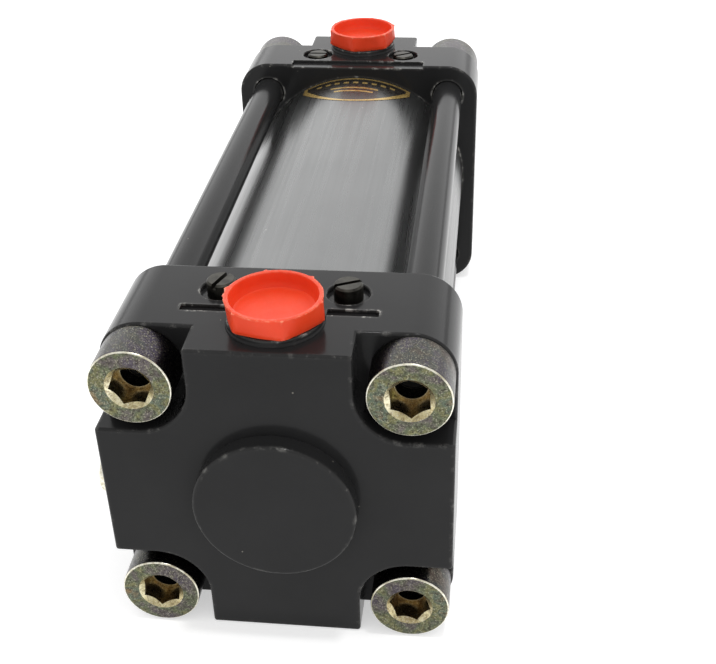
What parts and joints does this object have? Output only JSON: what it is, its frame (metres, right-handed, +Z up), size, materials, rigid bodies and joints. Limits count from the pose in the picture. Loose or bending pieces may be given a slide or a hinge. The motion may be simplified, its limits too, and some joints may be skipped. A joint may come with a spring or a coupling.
{
  "type": "pneumatic cylinder",
  "caption": "Double-acting tie-rod pneumatic cylinder with square black heads, adjustable end cushions, plugged air ports and a threaded piston rod.",
  "frame": {"origin": "centre of the cap head's end face on the cylinder axis, where the cap pilot boss starts", "axes": "+Y along the axis from the cap end to the rod end, +Z up through the air ports, +X to the right seen from the cap end"},
  "size_m": [0.0771, 0.263, 0.0813],
  "materials": {
    "black_paint": "satin gloss enamel over machined metal",
    "tube_finish": "hard-anodised grey, semi-gloss",
    "yellow_zinc": "yellow zinc chromate plating with rainbow tints",
    "label_film": "gloss black film with plain gold bars",
    "plug_plastic": "moulded polyethylene",
    "valve_steel": "turned steel",
    "inner_steel": "turned steel",
    "rod_chrome": "ground hard chrome",
    "bush_bronze": "sintered bronze",
    "piston_alloy": "turned",
    "seal_rubber": "moulded nitrile rubber",
    "guide_plastic": "filled acetal"
  },
  "bodies": {
    "cylinder_body": {"cap_head": "black_paint", "rod_head": "black_paint", "cylinder_tube": "tube_finish", "tube_label": "label_film", "tie_rod_top_left": "black_paint", "tie_rod_top_right": "black_paint", "tie_rod_bottom_left": "black_paint", "tie_rod_bottom_right": "black_paint", "tie_rod_nuts_cap_end": "yellow_zinc", "tie_rod_nuts_rod_end": "yellow_zinc", "tube_seal_cap_end": "seal_rubber", "tube_seal_rod_end": "seal_rubber", "port_plug_cap_end": "plug_plastic", "port_plug_rod_end": "plug_plastic", "side_pipe_plug": "yellow_zinc", "check_valve_plug_cap_end": "valve_steel", "check_valve_plug_rod_end": "valve_steel", "check_plug_o_ring_cap_end": "seal_rubber", "check_plug_o_ring_rod_end": "seal_rubber", "check_spring_cap_end": "inner_steel", "check_spring_rod_end": "inner_steel", "cushion_seal_cap_end": "seal_rubber", "cushion_seal_rod_end": "seal_rubber", "rod_bush": "bush_bronze", "rod_seal": "seal_rubber", "rod_wiper": "seal_rubber"},
    "piston_seals": {"piston_seal_cap_side": "seal_rubber", "piston_seal_rod_side": "seal_rubber", "piston_guide_ring": "guide_plastic"},
    "rod_and_piston": {"piston_rod": "rod_chrome", "piston": "piston_alloy", "cushion_spear": "inner_steel", "cushion_sleeve": "inner_steel", "piston_o_ring": "seal_rubber", "rod_end_nut": "yellow_zinc"},
    "needle_ring_cap": {"needle_o_ring_cap_end": "seal_rubber"},
    "needle_cap": {"cushion_needle_cap_end": "valve_steel"},
    "needle_ring_rod": {"needle_o_ring_rod_end": "seal_rubber"},
    "needle_rod": {"cushion_needle_rod_end": "valve_steel"},
    "check_ball_cap": {"check_ball_cap_end": "inner_steel"},
    "check_ball_rod": {"check_ball_rod_end": "inner_steel"}
  },
  "joints": [
    {"name": "rod_slide", "type": "slide", "parent": "cylinder_body", "child": "piston_seals", "axis": [0, 1, 0], "range_m": [0, 0.1]},
    {"name": "rod_turn", "type": "hinge", "parent": "piston_seals", "child": "rod_and_piston", "pos_m": [0, 0.05, 0], "axis": [0, 1, 0], "continuous": true},
    {"name": "needle_cap_lift", "type": "slide", "parent": "cylinder_body", "child": "needle_ring_cap", "axis": [0, 0, 1], "range_m": [-0.00225, 0.00075]},
    {"name": "needle_cap_turn", "type": "hinge", "parent": "needle_ring_cap", "child": "needle_cap", "pos_m": [0.0136, 0.0241, 0.03], "axis": [0, 0, 1], "range_deg": [-1081, 361]},
    {"name": "needle_rod_lift", "type": "slide", "parent": "cylinder_body", "child": "needle_ring_rod", "axis": [0, 0, 1], "range_m": [-0.00025, 0.00225]},
    {"name": "needle_rod_turn", "type": "hinge", "parent": "needle_ring_rod", "child": "needle_rod", "pos_m": [0.0136, 0.1719, 0.03], "axis": [0, 0, 1], "range_deg": [-121, 1081]},
    {"name": "check_ball_cap_lift", "type": "slide", "parent": "cylinder_body", "child": "check_ball_cap", "axis": [0, 0, 1], "range_m": [0, 0.0012], "stiffness_N_per_m": 60, "springref_m": -0.002, "deforming": ["check_spring_cap_end"]},
    {"name": "check_ball_rod_lift", "type": "slide", "parent": "cylinder_body", "child": "check_ball_rod", "axis": [0, 0, 1], "range_m": [0, 0.0012], "stiffness_N_per_m": 60, "springref_m": -0.002, "deforming": ["check_spring_rod_end"]}
  ],
  "couplings": [
    {"joint": "needle_cap_turn", "follows": "needle_cap_lift", "rad_per_m": 8377.6},
    {"joint": "needle_rod_turn", "follows": "needle_rod_lift", "rad_per_m": 8377.6}
  ]
}
